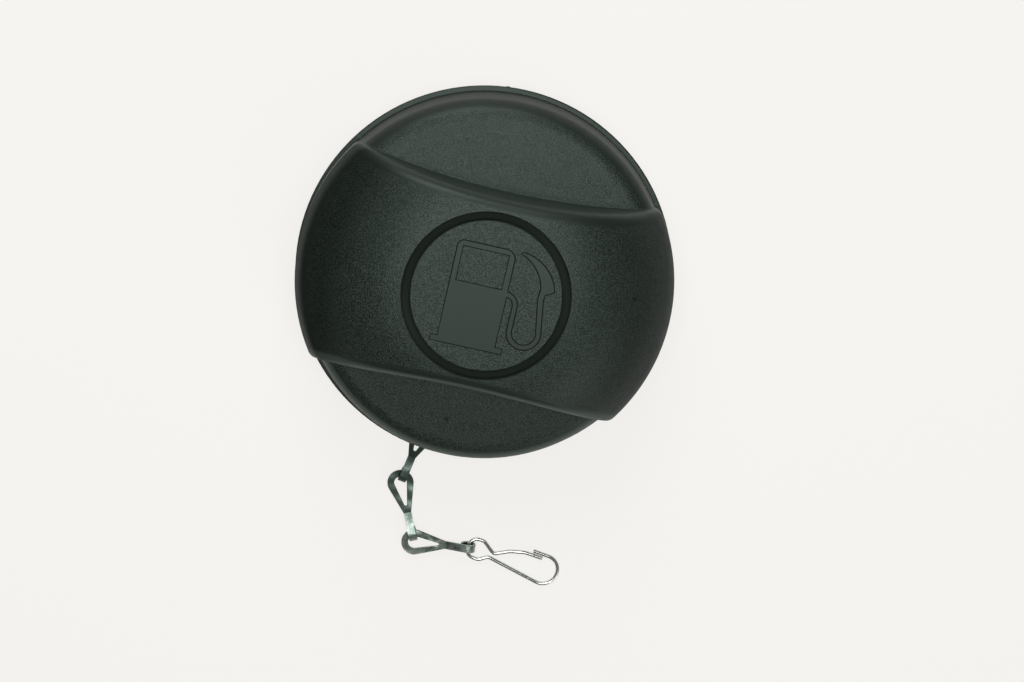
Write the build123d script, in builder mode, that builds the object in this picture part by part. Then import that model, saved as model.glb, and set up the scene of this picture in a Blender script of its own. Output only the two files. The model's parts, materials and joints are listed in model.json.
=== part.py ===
"""Fuel filler cap for an 80 mm bayonet neck: moulded cover with a raised grip, spring-loaded bayonet,
pressure and vacuum valves, and a retaining chain of stamped links with a wire snap hook.

The origin is the centre of the gasket's sealing face. +Z points out of the neck, +X runs along the grip.
All lengths are millimetres.
"""

import os
from math import asin, cos, degrees, radians, sin, sqrt, tan

from build123d import *

os.makedirs("parts", exist_ok=True)

# Cover
lip_width = 1.4  # flange at the foot of the skirt
lip_z = -4.0  # lower rim, below the sealing face
lip_height = 1.3
lip_edge_radius = 0.4
skirt_radius = 54.6  # at the top of the lip
skirt_draft = 8.5  # degrees
shoulder_radius = 6.0  # rounding between skirt and finger well
well_centre_z = 13.8
well_rim_z = 12.4
crown_z = 32.0  # flat middle of the grip
crown_flat_radius = 21.0
crown_drop = 19.0  # fall of the crown's arc towards the ends
grip_step = 0.6  # the ends of the grip stand this far outside the skirt's foot
grip_end_draft = 0.9  # degrees
grip_end_radius = 9.0
grip_half_width = 27.7  # at the waist, at the height of the wells
grip_side_radius = 225.0  # hollow of the grip's long sides
grip_draft = 1.5  # degrees
grip_edge_radius = 3.4
wall = 2.5
rib_thickness = 1.8
rib_count = 8
rib_length = 18.0

# Centre disc
disc_radius = 21.25
disc_thickness = 3.5
disc_edge_radius = 0.4
groove_width = 2.5
recess_floor = 2.3
recess_wall = 2.1  # beyond the groove, at either end
disc_seat = 1.75  # ledge under the disc's rim
snap_wall = 1.5
snap_clearance = 0.2
snap_length = 3.6
snap_barb = 0.9
snap_lead = 0.3
snap_count = 4
snap_gap = 19.5  # between two snaps

# Inner plate and gasket
plate_clearance = 0.4  # to the skirt
plate_bottom_z = 1.0
plate_thickness = 3.2
plate_rim = 6.9  # outside the gasket
gasket_margin = 1.3  # between the screw heads and the gasket
gasket_thickness = 3.0
gasket_clearance = 0.1
collar_wall = 1.8
collar_height = 5.3

# Plate screws
screw_count = 4
screw_angle = 45.0  # degrees, of the first one
screw_radius = 2.1
screw_length = 13.0
screw_head_radius = 3.8
screw_head_height = 2.0
screw_head_round = 0.8
screw_tip_gap = 1.0
screw_clearance = 0.15
cross_width = 1.0  # cross recess in the head
cross_length = 4.0
cross_depth = 1.0
pilot_clearance = 0.05
boss_radius = 3.6
boss_clearance = 0.4  # to the spring washer

# Bayonet body
stem_radius = 17.5
stem_wall = 2.5
stem_top_z = 24.5
stem_clearance = 0.3
plug_radius = 32.0
plug_wall = 2.5
plug_bottom_z = -13.5
web_top_z = -7.0
web_thickness = 2.5
plug_rib_thickness = 1.6
plug_rib_count = 8
plug_rib_inset = 0.8
ledge_radius = 11.0
ledge_thickness = 2.0
stop_radius = 20.5
stop_height = 2.5
stop_slope = 1.0  # of the shoulder's underside
stop_gap = 0.05
key_width = 4.6
key_height = 1.0
key_clearance = 0.2
key_top_z = 12.0
lug_radius = 38.5
lug_span = 48.0  # degrees
lug_thickness = 2.7
lug_bottom_z = -12.5
lug_ramp = 1.6

# Bayonet spring, its washer and the circlip
spring_wire = 1.8
spring_turns = 5
spring_top_z = 20.0
spring_clearance = 0.2  # round the collar
washer_thickness = 1.6
washer_overhang = 0.4  # outside the spring
circlip_thickness = 1.2
circlip_height = 2.5  # above the stem
circlip_groove_depth = 1.2
circlip_gap = 60.0  # degrees
fit_gap = 0.05
overrun = 1.2  # of a block past the form that it shapes

# Valve housing
housing_clearance = 0.15
housing_wall = 1.6
housing_height = 17.5
housing_floor = 1.5
housing_ledge = 0.8
seat_hole_radius = 7.0
seat_lip_radius = 8.7  # middle of the lip
seat_lip_width = 1.0
seat_lip_height = 0.6
o_ring_section = 0.5  # radius
o_ring_z = -7.0
o_ring_groove_width = 1.2
housing_ring_thickness = 1.0
housing_ring_width = 1.9
housing_ring_depth = 0.5

# Pressure valve
poppet_radius = 11.5
poppet_thickness = 1.2
poppet_tube_radius = 5.4
poppet_hole_radius = 4.0
poppet_tube_height = 4.0
seal_thickness = 1.15
seal_radius = 10.2
seal_hole_radius = 4.6
pressure_wire = 1.0
pressure_spring_radius = 7.2
pressure_turns = 4
vent_hole_radius = 1.2
vent_count = 6
vent_circle_radius = 9.6
vent_cover_thickness = 1.6

# Vacuum valve
vacuum_disc_radius = 6.2
vacuum_disc_thickness = 1.2
vacuum_stem_radius = 1.2
vacuum_stem_top_z = 1.4
vacuum_head_radius = 1.9
vacuum_head_height = 0.6
vacuum_head_chamfer = 0.4
retainer_radius = 3.4
retainer_thickness = 0.6
spider_thickness = 1.2
spider_hub_radius = 2.6
spider_arm_width = 1.4
spider_arm_inset = 0.4
guide_clearance = 0.15
vacuum_wire = 0.5
vacuum_spring_radius = 2.2
vacuum_turns = 3

# Chain
strip = 0.7  # sheet of the stamped links
link_bow_radius = 4.05
link_strip_width = 2.1
link_length = 16.8  # bow centre to curl centre
link_neck_radius = 1.2
link_neck_reach = 9.6
link_hole_reach = 7.2
link_hole_end_radius = 0.45
curl_bore_radius = 1.6
curl_width = 2.4
curl_turn = 290.0  # degrees
bow_seat = 2.85  # curl centre to the centre of the bow that it holds
table_z = plug_bottom_z
link_edge = 0.12  # chamfer along the stamped strip
anchor_inset = 1.5  # centre of the anchor's curl, inside the plate's edge
anchor_angle = 261.9
anchor_z = -5.8
link_azimuths = (260.4, 294.8, 6.6)
hook_azimuth = 351.0
tab_thickness = 0.6
tab_width = 9.0
tab_reach = 4.4
tab_bend_radius = 1.1
tab_corner_radius = 1.5
rivet_radius = 1.6
rivet_head_radius = 2.6
rivet_head_height = 0.8
rivet_head_round = 0.55
rivet_set_back = 2.2

# Snap hook
wire_radius = 0.6
hook_drop = 0.7  # the eye's wire lies this far below the middle of the curl
hook_length = 29.4
hook_top = 5.95
hook_bottom = -4.05
hook_bow_radius = 4.5
hook_tip_x = 19.8  # end of the wire, over the latch arm
eye_top = 3.4
eye_bottom = -2.9
eye_radius = 2.8
eye_top_length = 4.2
eye_bottom_length = 4.6
eye_bend_radius = 2.0
waist_top = (8.4, 0.6)
waist_top_radius = 1.5
waist_bottom = (7.2, -0.95)
waist_bottom_radius = 1.6
latch_arm = ((13.0, 3.2), (17.5, 4.5), (23.2, 4.6))
latch_radius = 6.0

# Heights and radii that follow
lip_radius = skirt_radius + lip_width
lip_top_z = lip_z + lip_height
grip_reach = skirt_radius + grip_step
grip_top_reach = grip_reach - (crown_z - lip_z) * tan(radians(grip_end_draft))
crown_run = grip_top_reach - crown_flat_radius
crown_fall_radius = (crown_run**2 + crown_drop**2) / (2 * crown_drop)
plate_top_z = plate_bottom_z + plate_thickness
plate_radius = (
    skirt_radius - (plate_top_z - lip_top_z) * tan(radians(skirt_draft)) - wall - plate_clearance
)
bore_radius = stem_radius + stem_clearance
collar_radius = bore_radius + collar_wall
collar_top_z = plate_top_z + collar_height
spring_radius = collar_radius + spring_clearance + spring_wire / 2
washer_radius = spring_radius + spring_wire / 2 + washer_overhang
screw_circle_radius = washer_radius + boss_clearance + boss_radius
gasket_inner_radius = screw_circle_radius + screw_head_radius + gasket_margin
gasket_outer_radius = plate_radius - plate_rim
recess_z = crown_z - disc_thickness
recess_radius = disc_radius + groove_width
disc_hole_radius = disc_radius - disc_seat
circlip_z = spring_top_z + washer_thickness + fit_gap
circlip_radius = stem_radius + circlip_height
stem_bore_radius = stem_radius - stem_wall
housing_bottom_z = plug_bottom_z + ledge_thickness
housing_radius = stem_bore_radius - housing_clearance
housing_bore_radius = housing_radius - housing_wall
housing_top_z = housing_bottom_z + housing_height
floor_top_z = housing_bottom_z + housing_floor
seal_bottom_z = floor_top_z + seat_lip_height + fit_gap
poppet_bottom_z = seal_bottom_z + seal_thickness
poppet_top_z = poppet_bottom_z + poppet_thickness
tube_top_z = poppet_top_z + poppet_tube_height
vacuum_disc_top_z = seal_bottom_z - fit_gap
retainer_z = vacuum_stem_top_z - vacuum_head_height - retainer_thickness
vent_cover_z = housing_top_z - vent_cover_thickness
ledge_bore_radius = housing_bore_radius - housing_ledge
anchor_radius = plate_radius - anchor_inset
anchor_x = anchor_radius * cos(radians(anchor_angle))
anchor_y = anchor_radius * sin(radians(anchor_angle))


def profile_arc(centre_z, radius, start_x, end_x):
    """Arc below (start_x, centre_z + radius) that falls outwards, in the XZ profile plane."""
    end_z = centre_z + sqrt(radius**2 - (end_x - start_x) ** 2)
    turn = degrees(asin((end_x - start_x) / radius))
    arc = CenterArc((start_x, centre_z), radius, 90, -turn)
    return arc, end_z


def grip_block(inset, foot_z):
    """Raised grip between two hollow sides, with the crown falling to the round ends."""
    edge = grip_edge_radius - inset
    end_x = grip_top_reach - inset
    foot_x = grip_reach - inset
    reach = overrun * lip_radius
    height = overrun * (crown_z - foot_z)
    foot_half = grip_half_width - inset + (well_centre_z - foot_z) * sin(radians(grip_draft))
    sagitta = grip_side_radius - sqrt(grip_side_radius**2 - reach**2)
    with BuildPart() as block:
        with BuildSketch(Plane.XZ):
            with BuildLine():
                top = Line((0, crown_z - inset), (crown_flat_radius, crown_z - inset))
                centre_z = crown_z - crown_fall_radius
                fall, end_z = profile_arc(centre_z, crown_fall_radius - inset, crown_flat_radius, end_x)
                side = Line(fall @ 1, (foot_x, foot_z))
                Line(side @ 1, (0, foot_z))
                Line((0, foot_z), top @ 0)
            face = make_face()
            corner = face.vertices().sort_by_distance((end_x, 0, end_z))[0]
            fillet(corner, grip_end_radius - inset)
        revolve(axis=Axis.Z)
        with BuildSketch(Plane.XY.offset(foot_z)) as plan:
            with BuildLine():
                side_y = foot_half + sagitta
                lower = ThreePointArc((-reach, -side_y), (0, -foot_half), (reach, -side_y))
                right = Line(lower @ 1, (reach, side_y))
                upper = ThreePointArc(right @ 1, (0, foot_half), (-reach, side_y))
                Line(upper @ 1, lower @ 0)
            make_face()
        extrude(plan.sketch, amount=height, taper=grip_draft, mode=Mode.INTERSECT)
        side_edges = [e for e in block.edges() if abs(e.center().Y) > grip_half_width / 2]
        long_edges = [e for e in side_edges if e.center().Z > foot_z + edge / 2]
        fillet(long_edges, edge)
    return block.part


def cover_form(inset, foot_z):
    """Outside form of the cover, or the same form a wall further in."""
    rim = skirt_radius - (well_rim_z - lip_top_z) * tan(radians(skirt_draft)) - inset
    foot = skirt_radius - (foot_z - lip_top_z) * tan(radians(skirt_draft)) - inset
    with BuildPart() as form:
        with BuildSketch(Plane.XZ):
            with BuildLine():
                dome = ThreePointArc(
                    (0, well_centre_z - inset),
                    (rim / 2, well_centre_z - inset - (well_centre_z - well_rim_z) / 4),
                    (rim, well_rim_z - inset),
                )
                side = Line(dome @ 1, (foot, foot_z))
                Line(side @ 1, (0, foot_z))
                Line((0, foot_z), dome @ 0)
            face = make_face()
            corner = face.vertices().sort_by_distance(dome @ 1)[0]
            fillet(corner, shoulder_radius - inset)
        revolve(axis=Axis.Z)
        add(grip_block(inset, foot_z))
    return form.part


def coil(wire, mean_radius, bottom_z, top_z, turns):
    """Compression spring of round wire that just fills the height between its seats."""
    height = top_z - bottom_z - wire
    with BuildPart() as spring:
        with BuildLine():
            path = Helix(pitch=height / turns, height=height, radius=mean_radius)
            path = path.moved(Location((0, 0, bottom_z + wire / 2)))
        with BuildSketch(Plane(origin=path @ 0, z_dir=path % 0)):
            Circle(wire / 2)
        sweep(path=path)
    return spring.part


def chain_plane(origin, azimuth, fall=0.0):
    """Plane whose X runs along a chain piece, with Z up from its flat face; fall is in degrees."""
    turn, tilt = radians(azimuth), radians(fall)
    along = (cos(turn) * cos(tilt), sin(turn) * cos(tilt), -sin(tilt))
    up = (cos(turn) * sin(tilt), sin(turn) * sin(tilt), cos(tilt))
    return Plane(origin=origin, x_dir=along, z_dir=up)


def side_plane(plane):
    """The upright plane through the same origin: X stays, Y is the piece's own up."""
    return Plane(origin=plane.origin, x_dir=plane.x_dir, z_dir=-plane.y_dir)


with BuildPart() as cover_inside:
    with BuildSketch(Plane.XY.offset(plate_top_z)):
        with PolarLocations(lip_radius - rib_length / 2, rib_count):
            Rectangle(rib_length, rib_thickness)
    extrude(amount=crown_z - plate_top_z)
    with BuildSketch(Plane.XY.offset(plate_top_z)):
        with PolarLocations(screw_circle_radius, screw_count, start_angle=screw_angle):
            Circle(boss_radius)
    extrude(amount=crown_z - plate_top_z)
    with BuildSketch(Plane.XY.offset(recess_z - recess_floor)):
        Rectangle(2 * (recess_radius + recess_wall), 2 * lip_radius)
    extrude(amount=recess_floor + disc_thickness)
    add(cover_form(wall / 2, lip_z), mode=Mode.INTERSECT)

with BuildPart() as cover:
    add(cover_form(0, lip_top_z))
    with BuildSketch(Plane.XY.offset(lip_z)):
        Circle(lip_radius)
    extrude(amount=lip_height)
    lip_edge = cover.edges().filter_by(GeomType.CIRCLE).filter_by(lambda e: e.radius > lip_radius - fit_gap)
    fillet(lip_edge.sort_by(Axis.Z)[-1], lip_edge_radius)
    add(cover_form(wall, lip_z - wall), mode=Mode.SUBTRACT)
    add(cover_inside.part)
    with BuildSketch(Plane.XY.offset(recess_z)):
        Circle(recess_radius)
    extrude(amount=crown_z, mode=Mode.SUBTRACT)
    with BuildSketch(Plane.XY.offset(recess_z)):
        Circle(disc_hole_radius)
    extrude(amount=recess_floor, both=True, mode=Mode.SUBTRACT)
    with BuildSketch(Plane.XY.offset(plate_top_z)):
        with PolarLocations(screw_circle_radius, screw_count, start_angle=screw_angle):
            Circle(screw_radius + pilot_clearance)
    extrude(amount=screw_length, mode=Mode.SUBTRACT)
cover.part.label = "cover"
export_step(cover.part, "parts/cover.step")

with BuildPart() as centre_disc:
    snap_outer = disc_hole_radius - snap_clearance
    barb_top_z = recess_z - recess_floor - snap_clearance / 2
    with BuildSketch(Plane.XZ):
        with BuildLine():
            Polyline(
                (0, crown_z),
                (disc_radius, crown_z),
                (disc_radius, recess_z),
                (snap_outer, recess_z),
                (snap_outer, barb_top_z),
                (snap_outer + snap_barb, barb_top_z),
                (snap_outer - snap_lead, recess_z - snap_length),
                (snap_outer - snap_wall, recess_z - snap_length),
                (snap_outer - snap_wall, recess_z),
                (0, recess_z),
                close=True,
            )
        make_face()
    revolve(axis=Axis.Z)
    with BuildSketch(Plane.XY.offset(recess_z - snap_length)):
        with PolarLocations(snap_outer, snap_count, start_angle=screw_angle):
            Rectangle(3 * snap_wall, snap_gap)
    extrude(amount=snap_length, mode=Mode.SUBTRACT)
    fillet(centre_disc.edges().filter_by(GeomType.CIRCLE).group_by(Axis.Z)[-1], disc_edge_radius)
centre_disc.part.label = "centre_disc"
export_step(centre_disc.part, "parts/centre_disc.step")

tab_plane = chain_plane((anchor_x, anchor_y, anchor_z), link_azimuths[0])
rivet_x = anchor_x - rivet_set_back * cos(radians(link_azimuths[0]))
rivet_y = anchor_y - rivet_set_back * sin(radians(link_azimuths[0]))

with BuildPart() as inner_plate:
    groove_inner = gasket_inner_radius - gasket_clearance
    groove_outer = gasket_outer_radius + gasket_clearance
    with BuildSketch(Plane.XZ):
        with BuildLine():
            Polyline(
                (bore_radius, plate_bottom_z),
                (groove_inner, plate_bottom_z),
                (groove_inner, gasket_thickness),
                (groove_outer, gasket_thickness),
                (groove_outer, plate_bottom_z),
                (plate_radius, plate_bottom_z),
                (plate_radius, plate_top_z),
                (collar_radius, plate_top_z),
                (collar_radius, collar_top_z),
                (bore_radius, collar_top_z),
                close=True,
            )
        make_face()
    revolve(axis=Axis.Z)
    with BuildSketch(Plane.XY.offset(plate_bottom_z)):
        with PolarLocations(bore_radius, 2):
            Rectangle(2 * (key_height - stem_clearance + key_clearance), key_width + 2 * key_clearance)
    extrude(amount=collar_top_z - plate_bottom_z, mode=Mode.SUBTRACT)
    with Locations(Plane.XY.offset(plate_bottom_z)):
        with PolarLocations(screw_circle_radius, screw_count, start_angle=screw_angle):
            Cylinder(
                screw_radius + screw_clearance,
                plate_thickness,
                align=(Align.CENTER, Align.CENTER, Align.MIN),
                mode=Mode.SUBTRACT,
            )
            Cylinder(
                screw_head_radius + screw_clearance,
                plate_thickness / 2,
                align=(Align.CENTER, Align.CENTER, Align.MIN),
                mode=Mode.SUBTRACT,
            )
    with BuildSketch(Plane.XY.offset(plate_bottom_z)):
        with Locations((rivet_x, rivet_y)):
            Circle(rivet_radius + fit_gap)
    extrude(amount=plate_thickness, mode=Mode.SUBTRACT)
inner_plate.part.label = "inner_plate"
export_step(inner_plate.part, "parts/inner_plate.step")

with BuildPart() as gasket:
    with BuildSketch(Plane.XY):
        Circle(gasket_outer_radius)
        Circle(gasket_inner_radius, mode=Mode.SUBTRACT)
    extrude(amount=gasket_thickness)
gasket.part.label = "gasket"
export_step(gasket.part, "parts/gasket.step")

with BuildPart() as plate_screws:
    head_z = plate_bottom_z + plate_thickness / 2
    with PolarLocations(screw_circle_radius, screw_count, start_angle=screw_angle):
        with Locations((0, 0, head_z)):
            Cylinder(
                screw_head_radius,
                screw_head_height,
                align=(Align.CENTER, Align.CENTER, Align.MAX),
            )
            Cylinder(
                screw_radius,
                plate_thickness / 2 + screw_length - screw_tip_gap,
                align=(Align.CENTER, Align.CENTER, Align.MIN),
            )
    crowns = plate_screws.edges().filter_by(GeomType.CIRCLE).group_by(Axis.Z)[0]
    fillet(crowns, screw_head_round)
    with PolarLocations(screw_circle_radius, screw_count, start_angle=screw_angle):
        with Locations((0, 0, head_z - screw_head_height)):
            Box(cross_width, cross_length, 2 * cross_depth, mode=Mode.SUBTRACT)
            Box(cross_length, cross_width, 2 * cross_depth, mode=Mode.SUBTRACT)
plate_screws.part.label = "plate_screws"
export_step(plate_screws.part, "parts/plate_screws.step")

with BuildPart() as lug:
    half_span = radians(lug_span / 2)
    side = (2 * lug_radius * cos(half_span), 2 * lug_radius * sin(half_span))
    with BuildSketch(Plane.XY.offset(lug_bottom_z)):
        Polygon((0, 0), (side[0], -side[1]), side, align=None)
        with BuildSketch(mode=Mode.INTERSECT):
            Circle(lug_radius)
            Circle(plug_radius - plug_wall / 2, mode=Mode.SUBTRACT)
    extrude(amount=lug_thickness)
    top_edges = lug.edges().group_by(Axis.Z)[-1]
    lead_in = top_edges.filter_by(GeomType.LINE).sort_by(Axis.Y)[-1]
    chamfer(lead_in, length=lug_ramp, length2=2 * lug_ramp)

with BuildPart() as bayonet_body:
    groove_floor = stem_radius - circlip_groove_depth
    stop_top_z = plate_bottom_z - stop_gap
    web_bottom_z = web_top_z - web_thickness
    with BuildSketch(Plane.XZ):
        with BuildLine():
            Polyline(
                (stem_bore_radius, stem_top_z),
                (stem_radius, stem_top_z),
                (stem_radius, circlip_z + circlip_thickness + fit_gap),
                (groove_floor, circlip_z + circlip_thickness + fit_gap),
                (groove_floor, circlip_z),
                (stem_radius, circlip_z),
                (stem_radius, stop_top_z),
                (stop_radius, stop_top_z),
                (stop_radius, stop_top_z - stop_height),
                (stem_radius, stop_top_z - stop_height - stop_slope),
                (stem_radius, web_top_z),
                (plug_radius, web_top_z),
                (plug_radius, plug_bottom_z),
                (plug_radius - plug_wall, plug_bottom_z),
                (plug_radius - plug_wall, web_bottom_z),
                (stem_radius, web_bottom_z),
                (stem_radius, plug_bottom_z),
                (ledge_radius, plug_bottom_z),
                (ledge_radius, housing_bottom_z),
                (stem_bore_radius, housing_bottom_z),
                close=True,
            )
        make_face()
        ring_groove_z = housing_top_z + fit_gap
        with Locations((stem_bore_radius, ring_groove_z)):
            Rectangle(
                housing_ring_depth,
                housing_ring_thickness + fit_gap,
                align=(Align.MIN, Align.MIN),
                mode=Mode.SUBTRACT,
            )
    revolve(axis=Axis.Z)
    rib_start = stem_radius - stem_wall / 2
    rib_span = plug_radius - plug_wall / 2 - rib_start
    with BuildSketch(Plane.XY.offset(plug_bottom_z + plug_rib_inset)):
        with PolarLocations(rib_start + rib_span / 2, plug_rib_count, start_angle=180 / plug_rib_count):
            Rectangle(rib_span, plug_rib_thickness)
    extrude(amount=web_bottom_z - plug_bottom_z - plug_rib_inset)
    with BuildSketch(Plane.XY.offset(web_top_z)):
        with PolarLocations(stem_radius, 2):
            Rectangle(2 * key_height, key_width)
        Circle(stem_radius - stem_wall / 2, mode=Mode.SUBTRACT)
    extrude(amount=key_top_z - web_top_z)
    with PolarLocations(0, 2):
        add(lug.part)
bayonet_body.part.label = "bayonet_body"
export_step(bayonet_body.part, "parts/bayonet_body.step")

with BuildPart() as spring_washer:
    with BuildSketch(Plane.XY.offset(spring_top_z)):
        Circle(washer_radius)
        Circle(stem_radius + 2 * fit_gap, mode=Mode.SUBTRACT)
    extrude(amount=washer_thickness)
spring_washer.part.label = "spring_washer"
export_step(spring_washer.part, "parts/spring_washer.step")

with BuildPart() as circlip:
    with BuildSketch(Plane.XY.offset(circlip_z)):
        Circle(circlip_radius)
        Circle(groove_floor + fit_gap, mode=Mode.SUBTRACT)
        gap_half = circlip_radius * sin(radians(circlip_gap / 2))
        with Locations((0, circlip_radius)):
            Rectangle(2 * gap_half, circlip_radius, mode=Mode.SUBTRACT)
    extrude(amount=circlip_thickness - fit_gap)
circlip.part.label = "circlip"
export_step(circlip.part, "parts/circlip.step")

bayonet_spring = coil(spring_wire, spring_radius, plate_top_z, spring_top_z, spring_turns)
bayonet_spring.label = "bayonet_spring"
export_step(bayonet_spring, "parts/bayonet_spring.step")

with BuildPart() as valve_housing:
    with BuildSketch(Plane.XZ):
        with BuildLine():
            Polyline(
                (seat_hole_radius, housing_bottom_z),
                (housing_radius, housing_bottom_z),
                (housing_radius, housing_top_z),
                (housing_bore_radius, housing_top_z),
                (housing_bore_radius, vent_cover_z),
                (ledge_bore_radius, vent_cover_z),
                (ledge_bore_radius, floor_top_z),
                (seat_hole_radius, floor_top_z),
                close=True,
            )
        make_face()
        with Locations((seat_lip_radius, floor_top_z)):
            Rectangle(seat_lip_width, seat_lip_height, align=(Align.CENTER, Align.MIN))
        with Locations((housing_radius, o_ring_z)):
            Rectangle(
                2 * (housing_radius - stem_bore_radius + 2 * (o_ring_section + fit_gap)),
                o_ring_groove_width,
                mode=Mode.SUBTRACT,
            )
    revolve(axis=Axis.Z)
valve_housing.part.label = "valve_housing"
export_step(valve_housing.part, "parts/valve_housing.step")

with BuildPart() as o_ring:
    with BuildSketch(Plane.XZ):
        with Locations((stem_bore_radius - fit_gap - o_ring_section, o_ring_z)):
            Circle(o_ring_section)
    revolve(axis=Axis.Z)
o_ring.part.label = "o_ring"
export_step(o_ring.part, "parts/o_ring.step")

with BuildPart() as housing_ring:
    ring_outer = stem_bore_radius + housing_ring_depth - fit_gap
    with BuildSketch(Plane.XY.offset(ring_groove_z)):
        Circle(ring_outer)
        Circle(ring_outer - housing_ring_width, mode=Mode.SUBTRACT)
        with Locations((0, ring_outer)):
            Rectangle(ring_outer, ring_outer, mode=Mode.SUBTRACT)
    extrude(amount=housing_ring_thickness)
housing_ring.part.label = "housing_ring"
export_step(housing_ring.part, "parts/housing_ring.step")

with BuildPart() as vent_cover:
    with BuildSketch(Plane.XY.offset(vent_cover_z)):
        Circle(housing_bore_radius - housing_clearance / 2)
        with PolarLocations(vent_circle_radius, vent_count):
            Circle(vent_hole_radius, mode=Mode.SUBTRACT)
    extrude(amount=vent_cover_thickness - fit_gap)
vent_cover.part.label = "vent_cover"
export_step(vent_cover.part, "parts/vent_cover.step")

with BuildPart() as pressure_poppet:
    with BuildSketch(Plane.XZ):
        with BuildLine():
            Polyline(
                (poppet_hole_radius, poppet_bottom_z),
                (poppet_radius, poppet_bottom_z),
                (poppet_radius, poppet_top_z),
                (poppet_tube_radius, poppet_top_z),
                (poppet_tube_radius, tube_top_z),
                (poppet_hole_radius, tube_top_z),
                close=True,
            )
        make_face()
    revolve(axis=Axis.Z)
    with BuildSketch(Plane.XY.offset(tube_top_z - spider_thickness)):
        Circle(spider_hub_radius)
        with PolarLocations(poppet_tube_radius / 2, 3):
            Rectangle(poppet_tube_radius - spider_arm_inset, spider_arm_width)
        Circle(vacuum_stem_radius + guide_clearance, mode=Mode.SUBTRACT)
    extrude(amount=spider_thickness)
pressure_poppet.part.label = "pressure_poppet"
export_step(pressure_poppet.part, "parts/pressure_poppet.step")

with BuildPart() as poppet_seal:
    with BuildSketch(Plane.XY.offset(seal_bottom_z)):
        Circle(seal_radius)
        Circle(seal_hole_radius, mode=Mode.SUBTRACT)
    extrude(amount=seal_thickness)
poppet_seal.part.label = "poppet_seal"
export_step(poppet_seal.part, "parts/poppet_seal.step")

pressure_spring = coil(pressure_wire, pressure_spring_radius, poppet_top_z, vent_cover_z, pressure_turns)
pressure_spring.label = "pressure_spring"
export_step(pressure_spring, "parts/pressure_spring.step")

with BuildPart() as vacuum_disc:
    with BuildSketch(Plane.XZ):
        with BuildLine():
            Polyline(
                (0, vacuum_disc_top_z - vacuum_disc_thickness),
                (vacuum_disc_radius, vacuum_disc_top_z - vacuum_disc_thickness),
                (vacuum_disc_radius, vacuum_disc_top_z),
                (vacuum_stem_radius, vacuum_disc_top_z),
                (vacuum_stem_radius, vacuum_stem_top_z - vacuum_head_height),
                (vacuum_head_radius, vacuum_stem_top_z - vacuum_head_height),
                (vacuum_head_radius - vacuum_head_chamfer, vacuum_stem_top_z),
                (0, vacuum_stem_top_z),
                close=True,
            )
        make_face()
    revolve(axis=Axis.Z)
vacuum_disc.part.label = "vacuum_disc"
export_step(vacuum_disc.part, "parts/vacuum_disc.step")

with BuildPart() as vacuum_retainer:
    with BuildSketch(Plane.XY.offset(retainer_z)):
        Circle(retainer_radius)
        Circle(vacuum_stem_radius + fit_gap, mode=Mode.SUBTRACT)
    extrude(amount=retainer_thickness)
vacuum_retainer.part.label = "vacuum_retainer"
export_step(vacuum_retainer.part, "parts/vacuum_retainer.step")

vacuum_spring = coil(vacuum_wire, vacuum_spring_radius, tube_top_z, retainer_z, vacuum_turns)
vacuum_spring.label = "vacuum_spring"
export_step(vacuum_spring, "parts/vacuum_spring.step")

with BuildPart() as chain_anchor:
    tab_z = plate_bottom_z - tab_thickness / 2 - anchor_z
    curl_radius = curl_bore_radius + tab_thickness / 2
    bend_x = curl_radius - tab_bend_radius
    with BuildSketch(side_plane(tab_plane)):
        with BuildLine():
            flat = Line((bend_x - tab_bend_radius, tab_z), (bend_x, tab_z))
            bend = CenterArc((bend_x, tab_z - tab_bend_radius), tab_bend_radius, 90, -90)
            drop = Line(bend @ 1, (curl_radius, 0))
            CenterArc((0, 0), curl_radius, 0, -curl_turn)
        trace(line_width=tab_thickness)
    extrude(amount=curl_width / 2, both=True)
    with BuildSketch(tab_plane.offset(tab_z - tab_thickness / 2)):
        with Locations(((bend_x - tab_reach) / 2, 0)):
            RectangleRounded(bend_x + tab_reach, tab_width, tab_corner_radius)
        with Locations((-rivet_set_back, 0)):
            Circle(rivet_radius + fit_gap, mode=Mode.SUBTRACT)
    extrude(amount=tab_thickness)
chain_anchor.part.label = "chain_anchor"
export_step(chain_anchor.part, "parts/chain_anchor.step")

with BuildPart() as anchor_rivet:
    with Locations((rivet_x, rivet_y, plate_bottom_z - tab_thickness)):
        Cylinder(
            rivet_radius, plate_thickness + tab_thickness, align=(Align.CENTER, Align.CENTER, Align.MIN)
        )
        Cylinder(rivet_head_radius, rivet_head_height, align=(Align.CENTER, Align.CENTER, Align.MAX))
    with Locations((rivet_x, rivet_y, plate_top_z)):
        Cylinder(rivet_head_radius, rivet_head_height, align=(Align.CENTER, Align.CENTER, Align.MIN))
    rims = anchor_rivet.edges().filter_by(GeomType.CIRCLE).group_by(Axis.Z)
    fillet(rims[0] + rims[-1], rivet_head_round)
anchor_rivet.part.label = "anchor_rivet"
export_step(anchor_rivet.part, "parts/anchor_rivet.step")


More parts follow.
